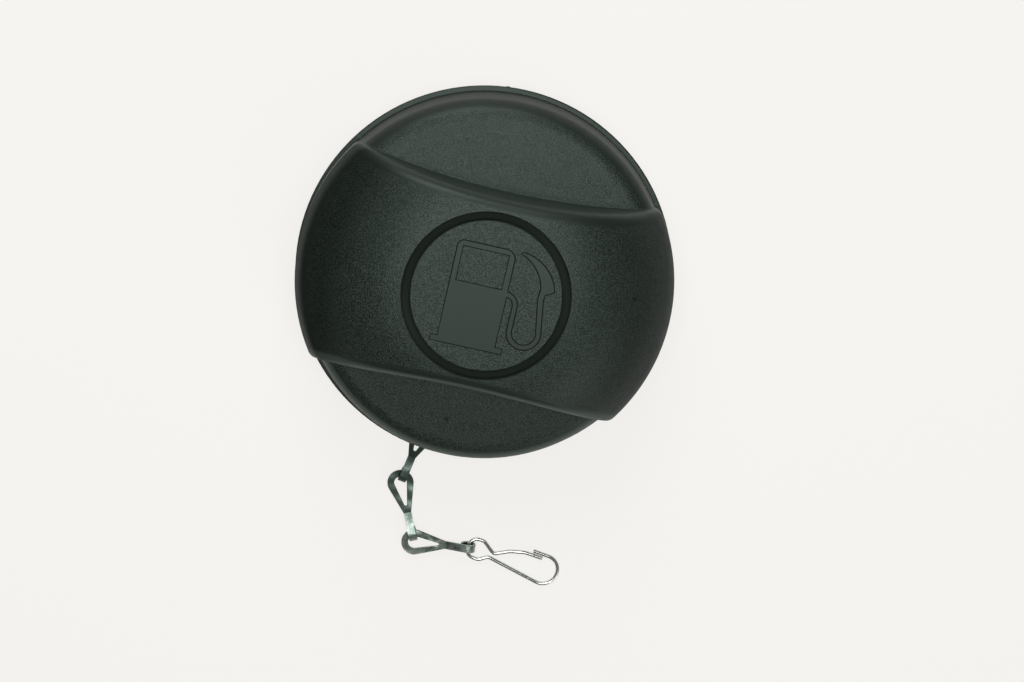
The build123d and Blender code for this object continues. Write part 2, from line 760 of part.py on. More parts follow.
def stamped_link(plane):
    """Teardrop link: a flat strip round a long hole, and a tongue curled round the next link's bow."""
    curl_mid = curl_bore_radius + strip / 2
    start_x = link_neck_reach + link_neck_radius / 4
    slope = asin(curl_mid / (link_length - start_x))
    touch = (link_length - curl_mid * sin(slope), curl_mid * cos(slope))
    with BuildPart() as link:
        with BuildSketch(plane.offset(-strip / 2)):
            Circle(link_bow_radius)
            with Locations((link_neck_reach, 0)):
                Circle(link_neck_radius)
            make_hull()
            with BuildSketch(mode=Mode.SUBTRACT):
                Circle(link_bow_radius - link_strip_width)
                with Locations((link_hole_reach, 0)):
                    Circle(link_hole_end_radius)
                make_hull()
        extrude(amount=strip)
        upright = Axis(plane.origin, plane.z_dir)
        chamfer(link.edges() - link.edges().filter_by(upright), link_edge)
        with BuildSketch(side_plane(plane)):
            with BuildLine():
                Line((start_x, 0), touch)
                CenterArc((link_length, 0), curl_mid, 90 + degrees(slope), -curl_turn)
            trace(line_width=strip)
        extrude(amount=curl_width / 2, both=True)
    return link.part


# Each link's bow lies in the curl before it. The first hangs from the anchor down to the table.
curl_rest_z = table_z + curl_bore_radius + strip
first_fall = degrees(asin((anchor_z - curl_rest_z) / (bow_seat + link_length)))
curl = Vector(anchor_x, anchor_y, anchor_z)
links = []
for number, azimuth in enumerate(link_azimuths, start=1):
    place = chain_plane(curl, azimuth, first_fall if number == 1 else 0.0)
    if number == 1:
        bow_centre = curl + place.x_dir * bow_seat
    else:
        bow_centre = curl + chain_plane(curl, link_azimuths[number - 2]).x_dir * bow_seat
    place = Plane(origin=bow_centre, x_dir=place.x_dir, z_dir=place.z_dir)
    link = stamped_link(place)
    link.label = f"link_{number}"
    export_step(link, f"parts/link_{number}.step")
    print(link.label, "bow centre", place.origin, "along", place.x_dir)
    links.append(link)
    curl = place.origin + place.x_dir * link_length
    print(link.label, "curl centre", curl)

hook_origin = curl - Vector(0, 0, hook_drop)
hook_fall = degrees(asin((hook_origin.Z - table_z - wire_radius) / hook_length))
hook_plane = chain_plane(hook_origin, hook_azimuth, hook_fall)
print("hook origin", hook_origin, "along", hook_plane.x_dir, "fall", hook_fall)

with BuildPart() as snap_hook:
    with BuildLine(hook_plane):
        wire_path = FilletPolyline(
            (hook_tip_x, hook_top),
            (hook_length, hook_top),
            (hook_length, hook_bottom),
            waist_bottom,
            (eye_bottom_length, eye_bottom),
            (0, eye_bottom),
            (0, eye_top),
            (eye_top_length, eye_top),
            waist_top,
            *latch_arm,
            radius=[
                hook_bow_radius,
                hook_bow_radius,
                waist_bottom_radius,
                eye_bend_radius,
                eye_radius,
                eye_radius,
                eye_bend_radius,
                waist_top_radius,
                latch_radius,
                latch_radius,
            ],
        )
    with BuildSketch(Plane(origin=wire_path @ 0, z_dir=wire_path % 0)):
        Circle(wire_radius)
    sweep(path=wire_path)
snap_hook.part.label = "snap_hook"
export_step(snap_hook.part, "parts/snap_hook.step")
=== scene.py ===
# %% [markdown]
# # A fuel filler cap, dressed for its portrait
#
# The cap's pieces come from a CAD model and are already at their real size and place. This lesson gives
# them their finishes: moulded plastic with a sandblasted grain, plated steel, rubber, spring wire. It
# engraves the pump sign in the centre disc, adds the small marks that a mould leaves, and sets up a plain
# studio.
#
# The first cell loads the pieces, with a helper that gives the box that a piece fills. Nothing made here
# may stand outside it.

# %% Load the cap
import json
import math

import bpy
from mathutils import Matrix, Vector


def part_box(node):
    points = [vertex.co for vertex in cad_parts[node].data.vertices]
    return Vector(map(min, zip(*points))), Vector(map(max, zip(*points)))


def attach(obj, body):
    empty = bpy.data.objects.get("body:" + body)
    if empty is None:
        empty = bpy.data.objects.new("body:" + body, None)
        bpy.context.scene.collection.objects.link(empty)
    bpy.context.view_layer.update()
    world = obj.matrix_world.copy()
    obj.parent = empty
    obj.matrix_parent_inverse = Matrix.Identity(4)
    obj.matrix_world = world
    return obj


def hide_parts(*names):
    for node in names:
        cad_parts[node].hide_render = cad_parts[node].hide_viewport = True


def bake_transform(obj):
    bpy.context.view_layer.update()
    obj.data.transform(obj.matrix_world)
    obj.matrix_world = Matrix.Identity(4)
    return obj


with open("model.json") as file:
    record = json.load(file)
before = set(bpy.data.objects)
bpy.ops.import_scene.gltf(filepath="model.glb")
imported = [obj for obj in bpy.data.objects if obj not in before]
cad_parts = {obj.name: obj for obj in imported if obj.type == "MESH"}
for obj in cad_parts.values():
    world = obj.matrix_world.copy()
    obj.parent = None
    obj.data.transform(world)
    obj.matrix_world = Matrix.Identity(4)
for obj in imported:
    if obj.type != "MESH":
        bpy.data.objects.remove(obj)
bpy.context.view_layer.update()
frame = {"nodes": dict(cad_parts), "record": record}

cap = frame["nodes"]

# %% [markdown]
# ## Units
#
# Blender works in metres here, and a cap is easier to think about in millimetres. One constant does the
# turning: `5 * mm` reads as it sounds.

# %% Millimetres
mm = 0.001
print("1 mm is", mm, "m")

# %% [markdown]
# ## The camera
#
# The cap lies on a table and the camera looks down on it from half a metre, almost square on. It leans 12
# degrees off the upright, so one side of the skirt shows a little more than the other, and the picture is
# turned 13 degrees, so the grip runs down to the right. A camera can be placed by eye, by a constraint that
# tracks an object, or by its matrix. The matrix is used here, because each turn is then one number.

# %% Camera
lip = Vector((0, 0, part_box("cover")[0].z))
camera_lean = math.radians(11.7)
camera_swing = math.radians(-1.7)
picture_turn = math.radians(13.0)
cap_in_view = Vector((-8.2, -19.5, 500)) * mm  # right, down and away from the lens
picture_width = 1024
focal_pixels = 1681
sensor_width = 36

flip = Matrix.Rotation(math.pi, 3, "X")
lean = Matrix.Rotation(camera_lean, 3, "X")
swing = Matrix.Rotation(camera_swing, 3, "Y")
turn = Matrix.Rotation(picture_turn, 3, "Z")
to_view = lean @ swing @ turn @ flip
from_view = to_view.transposed()

lens = bpy.data.cameras.new("portrait")
lens.sensor_width = sensor_width
lens.lens = sensor_width * focal_pixels / picture_width
lens.clip_start = 10 * mm
camera = bpy.data.objects.new("portrait_camera", lens)
bpy.context.scene.collection.objects.link(camera)
camera.matrix_world = Matrix.Translation(lip - from_view @ cap_in_view) @ (from_view @ flip).to_4x4()
bpy.context.scene.camera = camera
print("camera at", camera.matrix_world.translation, "lens", round(lens.lens, 2))

# %% [markdown]
# ## Shader sums in Python
#
# A finish is a net of nodes, and most of the net is arithmetic: this noise times that mask, plus a little.
# Wired by hand, each sign is a Math node and two links. The small class below wraps a socket, so that
# `a * b + 0.1` adds those nodes by itself. Its method `node` adds any other kind of node: the settings go
# in first, then the values or links of the sockets.

# %% A socket that can be reckoned with
class Field:
    """A shader socket on which Python's own signs work."""

    def __init__(self, tree, socket=None):
        self.tree = tree
        self.socket = socket

    def node(self, kind, settings=None, values=None, take=0):
        """Adds a node of any kind and gives one of its outputs."""
        made = self.tree.nodes.new("ShaderNode" + kind)
        for name, value in (settings or {}).items():
            setattr(made, name, value)
        for name, value in (values or {}).items():
            if isinstance(value, Field):
                self.tree.links.new(value.socket, made.inputs[name])
            else:
                made.inputs[name].default_value = value
        return Field(self.tree, made.outputs[take])

    def sum(self, operation, *terms):
        return self.node("Math", {"operation": operation}, dict(enumerate(terms)))

    def part(self, axis):
        """One coordinate of a place or direction."""
        return self.node("SeparateXYZ", {}, {"Vector": self}, take=axis)

    def size(self):
        return self.sum("ABSOLUTE", self)

    def __add__(self, other):
        return self.sum("ADD", self, other)

    def __radd__(self, other):
        return self.sum("ADD", other, self)

    def __sub__(self, other):
        return self.sum("SUBTRACT", self, other)

    def __rsub__(self, other):
        return self.sum("SUBTRACT", other, self)

    def __mul__(self, other):
        return self.sum("MULTIPLY", self, other)

    def __rmul__(self, other):
        return self.sum("MULTIPLY", other, self)

    def fade(self, low, high):
        """0 below low, 1 above high, and a smooth rise between; high may be the lower number."""
        settings = {"interpolation_type": "SMOOTHSTEP"}
        values = {"Value": self, "From Min": low, "From Max": high, "To Min": 0.0, "To Max": 1.0}
        return self.node("MapRange", settings, values)


print("signs that a field knows: + - *")

# %% [markdown]
# ## Where a finish starts
#
# Every finish on this cap starts as one Principled shader, which covers plastic, rubber and metal alike.
# What is the same all over is set on the shader's own sockets. What changes over the surface is a field: it
# reads the object coordinates, so the pattern stays fixed to the piece when the piece moves.

# %% Start a finish
finishes = {}


def start_finish(name, **constants):
    """A new material: gives its Principled shader, and a Field to build its pattern from."""
    material = bpy.data.materials.new(name)
    material.use_nodes = True
    shader = material.node_tree.nodes["Principled BSDF"]
    for socket, value in constants.items():
        shader.inputs[socket.replace("_", " ")].default_value = value
    finishes[name] = material
    return shader, Field(material.node_tree)


def feed(shader, **fields):
    """Links fields to the shader's sockets."""
    for socket, field in fields.items():
        field.tree.links.new(field.socket, shader.inputs[socket.replace("_", " ")])


print("a finish can be started")

# %% [markdown]
# ## Four nodes that every finish needs
#
# A pattern starts from the place on the piece, takes its unevenness from noise, and ends as a colour
# between two others or as a bump. Each of these is a single node, wrapped in a function so that a finish
# reads as a short list.

# %% Place, noise, colour and bump
def object_place(field):
    return field.node("TexCoord", take="Object")


def noise(field, place, scale, detail=2.0, roughness=0.5):
    """Blender's noise; scale is how many bumps go into a metre."""
    values = {"Vector": place, "Scale": scale, "Detail": detail, "Roughness": roughness}
    return field.node("TexNoise", {"noise_dimensions": "3D"}, values)


def mix_colour(field, amount, first, second):
    """first where amount is 0, second where it is 1."""
    values = {"Factor": amount, 6: first, 7: second}
    return field.node("Mix", {"data_type": "RGBA"}, values, take=2)


def bump(field, height, distance, strength=1.0):
    return field.node("Bump", {}, {"Height": height, "Distance": distance, "Strength": strength})


print("helpers for place, noise, colour and bump")

# %% [markdown]
# ## Where the grain lies
#
# The steel mould of the cover is sandblasted on its broad faces: the crown of the grip, the floors of the
# two finger wells and the disc. Its walls, its roundings and the groove round the disc were left smooth. A
# painted mask could say so, and so can sums on the place. The grip's long sides are hollow arcs, so the
# distance to its edge is half its width at the waist, plus the arc's depth there, less the distance from
# the middle.

# %% Grain mask
crown_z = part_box("centre_disc")[1].z
grip_half_width = 27.2 * mm  # at the waist of the crown
grip_side_radius = 225 * mm
disc_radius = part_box("centre_disc")[1].x
groove_width = 2.5 * mm
well_top_z = 14 * mm
well_foot_z, well_floor_z = 5 * mm, 8 * mm


def edge_distance(place):
    """How far a point lies inside the hollow edge of the grip."""
    across, along = place.part("Y"), place.part("X")
    side_depth = along * along * (0.5 / grip_side_radius)
    return side_depth - across.size() + grip_half_width


def groove_mask(place):
    """1 inside the round groove."""
    from_axis = place.node("VectorMath", {"operation": "MULTIPLY"}, {0: place, 1: (1, 1, 0)})
    radius = from_axis.node("VectorMath", {"operation": "LENGTH"}, {0: from_axis}, take="Value")
    ring = radius.fade(disc_radius - 0.25 * mm, disc_radius - 0.05 * mm)
    ring = ring * radius.fade(disc_radius + groove_width + 0.2 * mm, disc_radius + groove_width)
    return ring * place.part("Z").fade(crown_z - 0.1 * mm, crown_z - 0.5 * mm)


def grain_mask(place, upward, groove):
    """1 where the mould was sandblasted, 0 where it was left smooth."""
    height = place.part("Z")
    crown = edge_distance(place).fade(2.6 * mm, 3.6 * mm) * upward.fade(0.5, 0.74)
    well = upward.fade(0.72, 0.93) * height.fade(well_foot_z, well_floor_z)
    raised = height.fade(well_top_z + 1 * mm, well_top_z + 4 * mm)
    return raised * crown * (1.0 - groove) + (1.0 - raised) * well


print("crown at", crown_z, "disc radius", disc_radius)

# %% [markdown]
# ## Painted light on the grip, and its dulled ends
#
# The grip's colour carries painted light that follows its shape. A thin painted highlight runs along the
# foot of its walls. The walls themselves are painted a little paler than the crown, a painted light. The
# near edge, where the fingers pull, gets the palest painted highlight, in a band of 2 or 3 mm. The grip's
# ends have lost their shine, because dust and fuel are rubbed into them. Every mask here is a product of
# fades, along one coordinate or over the face's slope: `upward` is 1 on a level face and 0 on an upright
# one.

# %% Painted light masks
grip_foot_half_width = 27.75 * mm
end_dulling = 0.85


def painted_light_masks(place, upward):
    """The painted highlights along the foot line and the near edge of the grip, and the painted light on
    its walls.
    """
    across, along, height = place.part("Y"), place.part("X"), place.part("Z")
    inside = edge_distance(place)
    foot_distance = (grip_half_width - grip_foot_half_width - inside).size()
    # A thin painted highlight along the foot of the walls.
    foot_highlight = foot_distance.fade(0.45 * mm, 0.1 * mm) * height.fade(16 * mm, well_top_z)
    # Painted light: the walls are made paler than the crown.
    wall_light = upward.fade(0.75, 0.3) * along.size().fade(46 * mm, 36 * mm)
    wall_light = wall_light * height.fade(well_top_z, well_top_z + 2 * mm)
    # A painted highlight along the near edge, in a band of 2 or 3 mm.
    near_edge_highlight = upward.fade(0.35, 0.5) * upward.fade(0.9, 0.75)
    near_edge_highlight = near_edge_highlight * across.fade(-15 * mm, -20 * mm) * inside.fade(3.5 * mm, 1.5 * mm)
    return foot_highlight, wall_light, near_edge_highlight


def dull_ends(place, upward):
    """The flanks of the grip's two ends, the left one more than the right."""
    along, height = place.part("X"), place.part("Z")
    ends = along.fade(-28 * mm, -44 * mm) + along.fade(30 * mm, 46 * mm) * 0.35
    ends = ends * height.fade(well_top_z, well_top_z + 3 * mm)
    return ends * upward.fade(0.96, 0.75) * upward.fade(0.1, 0.4) * end_dulling


print("near edge fades out at", 3.5 * mm, "from the edge")

# %% [markdown]
# ## Blisters
#
# Two bubbles of trapped gas left small round marks in the cover, one in the front well and one on the right
# of the crown: a rougher moat round a raised middle. The moat is painted dark, a painted shade, and the
# middle is painted light, a painted highlight. Half a millimetre is too small to be worth a mesh, so each
# is a pair of fades of the distance from its centre.

# %% Blister marks
blisters = [Vector((-2.2, -41.1, 13.0)) * mm, Vector((41.2, 7.5, 26.2)) * mm]
blister_size = 0.45 * mm


def blister_field(field, place):
    """The moats and the domes of both marks: a painted shade and a painted highlight."""
    marks = []
    for centre in blisters:
        values = {0: place, 1: centre}
        distance = field.node("VectorMath", {"operation": "DISTANCE"}, values, take="Value")
        # The moat is painted shade; the dome is a painted highlight.
        moat = distance.fade(blister_size * 1.5, blister_size)
        dome = distance.fade(blister_size * 0.7, blister_size * 0.3)
        marks.append((moat, dome))
    moats = marks[0][0] + marks[1][0]
    domes = marks[0][1] + marks[1][1]
    return moats, domes


print("blisters:", len(blisters))

# %% [markdown]
# ## Moulded plastic with a sandblasted grain
#
# The plastic takes the mould's texture: countless fine pits, hardly darker than the skin between them,
# which glitter when a lamp is overhead. An image of such a grain would need unwrapping. Noise in the bump
# and the roughness needs none, and it glitters only where the lamp's light falls, as the real grain does.
# The colour carries the pits too, and the pale specks in it are painted glints, stronger on level faces.
# Thumbs polish the roundings in streaks. Where the grip's ends are dulled, a second shader with no mirror
# of its own is mixed over the first.

# %% Grained plastic
plastic_tint = (0.82, 1.0, 0.9, 1)
plastic_dark = (0.0012, 0.0017, 0.0015, 1)
plastic_pale = (0.036, 0.051, 0.042, 1)
plastic_mirror = 0.42
pits_per_metre, sparks_per_metre = 3300, 3800
clouds_per_metre, streaks_per_metre = 60, 420
grain_depth = 0.06 * mm


def grained_plastic(name, dark, pale):
    constants = {"Specular_IOR_Level": plastic_mirror, "IOR": 1.5, "Specular_Tint": plastic_tint}
    shader, field = start_finish(name, **constants)
    place = object_place(field)
    upward = field.node("TexCoord", take="Normal").part("Z")
    groove = groove_mask(place)
    grain = grain_mask(place, upward, groove)
    foot_highlight, wall_light, near_edge_highlight = painted_light_masks(place, upward)
    moats, domes = blister_field(field, place)

    pits = noise(field, place, pits_per_metre, 1.0)
    sparkle = noise(field, place, sparks_per_metre, 1.0).fade(0.53, 0.66)
    clouds = noise(field, place, clouds_per_metre, 4.0)
    streaks = noise(field, place, streaks_per_metre, 3.0)
    # Steep faces: painted shade, darker in the colour, and a little rougher.
    steep = upward.fade(0.93, 0.45)
    thumbed = upward.fade(0.2, 0.5) * upward.fade(0.95, 0.7) * streaks.fade(0.35, 0.7)

    # The pits are grain in the colour; the sparkle specks added to them are painted glints.
    speckle = (pits.fade(0.4, 0.6) - 0.5) * 1.1 + sparkle * 0.6
    # Painted glints: the speckle in the colour is stronger on level faces, where the lamp shines back.
    level = upward.fade(0.8, 0.98) * 0.65 + 0.35
    tone = 0.31 + speckle * grain * level + (clouds - 0.5) * 0.16 + thumbed * 0.04
    # Painted highlights on the foot line and the near edge, and painted light on the walls.
    tone = tone + foot_highlight * 0.5 + wall_light * 0.5 + near_edge_highlight * 1.2
    # Painted shade in the groove round the disc, in the blister moats and on steep faces; painted highlight
    # on the blister domes.
    tone = tone - moats * 1.2 - groove * 0.06 - steep * 0.17 + domes * 1.8
    colour = mix_colour(field, tone, dark, pale)

    shine = 0.42 + (groove + moats) * 0.4 + steep * 0.1 + (clouds - 0.5) * 0.08
    shine = shine - near_edge_highlight * 0.08 - sparkle * grain * 0.1 - thumbed * 0.04
    height = pits * grain + sparkle * grain * 0.4 + streaks * 0.12 + domes
    relief = bump(field, height, grain_depth)
    feed(shader, Base_Color=colour, Roughness=shine, Normal=relief)

    values = {"Base Color": colour, "Roughness": 1.0, "Specular IOR Level": 0.0, "Normal": relief}
    dull = field.node("BsdfPrincipled", {}, values)
    shiny = Field(field.tree, shader.outputs[0])
    surface = field.node("MixShader", {}, {0: dull_ends(place, upward), 1: shiny, 2: dull})
    field.tree.links.new(surface.socket, field.tree.nodes["Material Output"].inputs["Surface"])
    print(name, "nodes:", len(field.tree.nodes))


grained_plastic("cover_plastic", plastic_dark, plastic_pale)
finishes["disc_plastic"] = finishes["cover_plastic"]

# %% [markdown]
# ## Smooth plastic
#
# Inside, the cap is plain moulded plastic, straight from a milled mould. It still isn't perfect: the flow
# of the melt leaves faint clouds, the mould's polishing marks print through, and glass fibre shows as a
# slight speckle in the bayonet. The floor of the pump sign is smooth plastic too, in the cover's colour.
# The groove round its figure is smooth plastic painted darker than that, a painted shade in the groove.
# One function serves all of these, with the colours and the amount of each mark as its arguments.

# %% Smooth plastic
def smooth_plastic(name, dark, pale, shine, speckle, mirror=0.5, tint=(1, 1, 1, 1)):
    constants = {"Specular_IOR_Level": mirror, "IOR": 1.5, "Specular_Tint": tint}
    shader, field = start_finish(name, **constants)
    place = object_place(field)
    flow = noise(field, place, 70, 5.0, 0.6)
    marks = noise(field, place, 900)
    fibres = noise(field, place, 3200).fade(0.55, 0.75) * speckle
    feed(
        shader,
        Base_Color=mix_colour(field, flow.fade(0.25, 0.75) * 0.8 + fibres, dark, pale),
        Roughness=shine + (flow - 0.5) * 0.18 + fibres * 0.1,
        Normal=bump(field, flow * 0.6 + marks * 0.25 + fibres * 0.3, 0.04 * mm, 0.6),
    )


inner_dark, inner_pale = (0.012, 0.013, 0.014, 1), (0.026, 0.028, 0.029, 1)
bayonet_dark, bayonet_pale = (0.016, 0.017, 0.018, 1), (0.04, 0.042, 0.043, 1)
valve_dark, valve_pale = (0.62, 0.6, 0.53, 1), (0.74, 0.73, 0.67, 1)
sign_dark, sign_pale = (0.0125, 0.0175, 0.0148, 1), (0.0155, 0.0215, 0.018, 1)
# The groove's colours are painted darker than the sign's: a painted shade in the groove.
groove_shade_dark, groove_shade_pale = (0.004, 0.0056, 0.0048, 1), (0.007, 0.0095, 0.008, 1)

smooth_plastic("inner_plastic", inner_dark, inner_pale, 0.42, 0.1)
smooth_plastic("bayonet_plastic", bayonet_dark, bayonet_pale, 0.48, 0.6)
smooth_plastic("valve_plastic", valve_dark, valve_pale, 0.32, 0.1)
smooth_plastic("sign_plastic", sign_dark, sign_pale, 0.42, 0.05, plastic_mirror, plastic_tint)
smooth_plastic("line_plastic", groove_shade_dark, groove_shade_pale, 0.7, 0.05, 0.2)
print("smooth plastics made, finishes so far:", len(finishes))

# %% [markdown]
# ## Rubber
#
# The gasket and the valve seals are pressed from nitrile rubber. Rubber is dull because its skin is finely
# rough, and talc from the press stays in that skin as pale dust. High roughness and a fine bump give the
# dullness, and a patchy mask of lighter colour gives the dust.

# %% Rubber
def rubber(name, dark, dusty):
    shader, field = start_finish(name, Specular_IOR_Level=0.35, IOR=1.5)
    place = object_place(field)
    dust = noise(field, place, 120, 6.0, 0.65).fade(0.42, 0.72)
    skin = noise(field, place, 2400)
    feed(
        shader,
        Base_Color=mix_colour(field, dust * 0.6 + (skin - 0.5) * 0.3, dark, dusty),
        Roughness=0.72 + dust * 0.12,
        Normal=bump(field, skin + dust * 0.5, 0.03 * mm, 0.7),
    )


rubber("gasket_rubber", (0.009, 0.009, 0.009, 1), (0.035, 0.034, 0.032, 1))
rubber("valve_rubber", (0.14, 0.034, 0.02, 1), (0.24, 0.08, 0.055, 1))
print("rubbers made, finishes so far:", len(finishes))

# %% [markdown]
# ## Plated steel
#
# The links, the hook, the springs and the screws are steel under a thin bright coat. A coat has a grey of
# its own, dulls in patches where it was handled, and is scratched along the strip or the wire by the tool
# that bent it. The scratches are noise that is squeezed in two directions, which draws it out into lines
# along the third. A pressed strip is never quite flat either, so slow waves under the scratches let one end
# of a link catch the lamp. Next to the cap the chain's colour is darkened, a painted shade and reflection
# of the black cap over it, which fades out towards the hook.

# %% Plated steel
# Where the painted shade of the black cap starts and ends on the chain.
cap_shade_start, cap_shade_end = -66 * mm, -92 * mm  # along Y, on the chain
scratch_stretch = (1.0, 0.35, 0.35)
scratch_turn = (0.0, 0.0, 0.6)


def plated_steel(name, dull, bright, shine, scratch_depth, cap_shade=0.0, wave_depth=0.05 * mm):
    shader, field = start_finish(name, Metallic=1.0)
    place = object_place(field)
    # Painted shade and reflection of the black cap: darker next to it, fading out towards the hook.
    unshaded = 1.0 - place.part("Y").fade(cap_shade_end, cap_shade_start) * cap_shade
    drawn = {"Vector": place, "Scale": scratch_stretch, "Rotation": scratch_turn}
    patches = noise(field, place, 260, 4.0, 0.6)
    scratches = noise(field, field.node("Mapping", {}, drawn), 4200, 2.0, 0.6)
    waves = noise(field, place, 150, 1.0, 0.4)
    worn = noise(field, place, 900, 3.0).fade(0.45, 0.7)
    grey = (patches.fade(0.3, 0.7) * 0.7 + worn * 0.3) * unshaded - (1.0 - unshaded) * 0.5
    coarse = bump(field, waves, wave_depth)
    fine = {"Height": scratches * scratch_depth + patches, "Distance": 0.006 * mm, "Strength": 1.0}
    feed(
        shader,
        Base_Color=mix_colour(field, grey, dull, bright),
        Roughness=shine + (patches - 0.5) * 0.16 + (scratches - 0.5) * scratch_depth * 0.2,
        Normal=field.node("Bump", {}, {**fine, "Normal": coarse}),
    )


link_dull, link_bright = (0.13, 0.17, 0.15, 1), (0.68, 0.74, 0.68, 1)
wire_dull, wire_bright = (0.68, 0.69, 0.65, 1), (0.88, 0.89, 0.85, 1)
spring_dull, spring_bright = (0.3, 0.3, 0.29, 1), (0.5, 0.5, 0.48, 1)
screw_dull, screw_bright = (0.42, 0.42, 0.36, 1), (0.64, 0.63, 0.56, 1)

# The links take the full painted shade next to the cap.
plated_steel("link_steel", link_dull, link_bright, 0.33, 0.2, 1.0, 1.2 * mm)
plated_steel("wire_steel", wire_dull, wire_bright, 0.2, 0.06)
plated_steel("spring_steel", spring_dull, spring_bright, 0.32, 0.6)
plated_steel("screw_steel", screw_dull, screw_bright, 0.3, 0.5)
print("steels made, finishes so far:", len(finishes))

# %% [markdown]
# ## The pump sign
#
# A fuel pump is drawn on the disc: a smooth figure that sits a hair lower than the grain round it, with a
# fine groove for its outline. On the real disc the mould is milled so. It could be painted as a mask, but a
# groove that catches the light has to be a real one. So the disc is copied, and two cutters take their
# share of its top: a thin slab of the figure's shape for the smooth floor, and a round rod bent along the
# same outline for the groove.
#
# The outline is straight stretches and arcs. The helper below gives the points of one arc.

# %% Points along an arc
def arc(centre, radius, start, end, steps=14):
    """Points on an arc from one angle to another, in degrees."""
    points = []
    for step in range(steps + 1):
        angle = math.radians(start + (end - start) * step / steps)
        points.append((centre[0] + radius * math.cos(angle), centre[1] + radius * math.sin(angle)))
    return points


print("a quarter turn:", arc((0, 0), 1, 0, 90, 2))

# %% [markdown]
# ## The outline of the pump
#
# The pump stands on a foot. A hose leaves its right side, dips in a round bend, and climbs to the heel of
# the nozzle, which leans back in a long curve. One loop goes round all of it, from the foot's left corner
# over the right, and the window is a loop of its own. The lengths are in millimetres from the middle of the
# disc.

# %% Outline of the pump
pump_left, pump_right = -10.9, 5.5
pump_bottom, pump_top = -15.1, 14.2
left_round, right_round = 1.8, 2.8
foot_left, foot_right, foot_top = -12.8, 7.55, -13.4
window_left, window_right, window_bottom, window_top = -9.3, 3.75, 2.85, 12.65
hose_turn, hose_turn_inner, hose_turn_outer = (5.3, -1.1), 2.3, 3.7
hose_bend, hose_bend_inner, hose_bend_outer = (12.4, -7.75), 3.4, 4.85
nozzle_back, nozzle_back_radius = (6.62, 2.42), 11.96
nozzle_front, nozzle_front_radius = (3.26, 3.27), 11.17
nozzle_foot = [(15.7, 2.55), (15.85, 3.9), (17.7, 4.9)]
nozzle_heel = (14.0, 2.55)

figure = [(foot_left, pump_bottom), (foot_right, pump_bottom)]
figure += [(foot_right, foot_top), (pump_right, foot_top)]
figure += arc(hose_turn, hose_turn_inner, 85, 0)
figure += arc(hose_bend, hose_bend_outer, 180, 360)
figure += nozzle_foot
figure += arc(nozzle_back, nozzle_back_radius, 15, 88)
figure += arc(nozzle_front, nozzle_front_radius, 71, 10)
figure += [nozzle_heel]
figure += arc(hose_bend, hose_bend_inner, 0, -180)
figure += arc(hose_turn, hose_turn_outer, 0, 87)
figure += arc((pump_right - right_round, pump_top - right_round), right_round, 0, 90)
figure += arc((pump_left + left_round, pump_top - left_round), left_round, 90, 180)
figure += [(pump_left, foot_top), (foot_left, foot_top)]
window = [
    (window_left, window_bottom),
    (window_right, window_bottom),
    (window_right, window_top),
    (window_left, window_top),
]
print("figure points:", len(figure))

# %% [markdown]
# ## The two cutters
#
# A flat curve fills itself between its outline and the window, and its Extrude setting makes the slab. The
# same curve left open, with a round bevel, becomes the rod. Each is turned into a mesh first and moved to
# its height after that, so that its place ends up in the mesh.

# %% Cutters
sign_depth = 0.04 * mm
slab_half_thickness = 10 * sign_depth
rod_radius = 0.17 * mm
same_point = 0.001 * mm


def only(piece):
    """Leaves just this piece selected and active."""
    bpy.ops.object.select_all(action="DESELECT")
    piece.select_set(True)
    bpy.context.view_layer.objects.active = piece


def sign_cutter(name, height):
    """The outline as a curve object; its settings make it a slab or a rod."""
    curve = bpy.data.curves.new(name, "CURVE")
    for loop in (figure, window):
        spline = curve.splines.new("POLY")
        spline.points.add(len(loop) - 1)
        spline.use_cyclic_u = True
        for point, (x, y) in zip(spline.points, loop):
            point.co = (x * mm, y * mm, 0, 1)
    cutter = bpy.data.objects.new(name, curve)
    bpy.context.scene.collection.objects.link(cutter)
    if name == "slab":
        curve.dimensions = "2D"
        curve.fill_mode = "BOTH"
        curve.extrude = slab_half_thickness
    else:
        curve.dimensions = "3D"
        curve.bevel_depth = rod_radius
        curve.bevel_resolution = 3
    only(cutter)
    bpy.ops.object.convert(target="MESH")
    bpy.ops.object.mode_set(mode="EDIT")
    bpy.ops.mesh.select_all(action="SELECT")
    bpy.ops.mesh.remove_doubles(threshold=same_point)
    bpy.ops.mesh.normals_make_consistent(inside=False)
    bpy.ops.transform.translate(value=(0, 0, height))
    bpy.ops.object.mode_set(mode="OBJECT")
    cutter.data.materials.clear()
    # The rod's faces become the groove, and they take the darker finish, a painted shade.
    cutter.data.materials.append(finishes["sign_plastic" if name == "slab" else "line_plastic"])
    print(name, "faces:", len(cutter.data.polygons))
    return cutter


slab = sign_cutter("slab", crown_z - sign_depth + slab_half_thickness)
rod = sign_cutter("rod", crown_z)

# %% [markdown]
# ## Copying and cutting
#
# A CAD piece itself is never changed, so a piece that needs another shape is copied first. The mesh of a
# CAD piece comes as loose triangles, and the copy's doubles are merged before anything is done to it. A cut
# is a Boolean modifier with the exact solver, which keeps each cutter's finish on the faces that it cuts.

# %% Copy and cut
piece_slots = {part["node"]: part["material_slot"] for part in frame["record"]["subparts"]}


def merged_copy(node, name):
    """A copy of a CAD piece with its own mesh, its loose triangles joined."""
    piece = cap[node].copy()
    piece.data = cap[node].data.copy()
    piece.data.transform(cap[node].matrix_world)
    piece.parent = None
    piece.matrix_world = Matrix.Identity(4)
    piece.name = name
    bpy.context.scene.collection.objects.link(piece)
    piece.data.materials.clear()
    piece.data.materials.append(finishes[piece_slots[node]])
    only(piece)
    bpy.ops.object.mode_set(mode="EDIT")
    bpy.ops.mesh.select_all(action="SELECT")
    bpy.ops.mesh.remove_doubles(threshold=same_point)
    bpy.ops.object.mode_set(mode="OBJECT")
    return piece


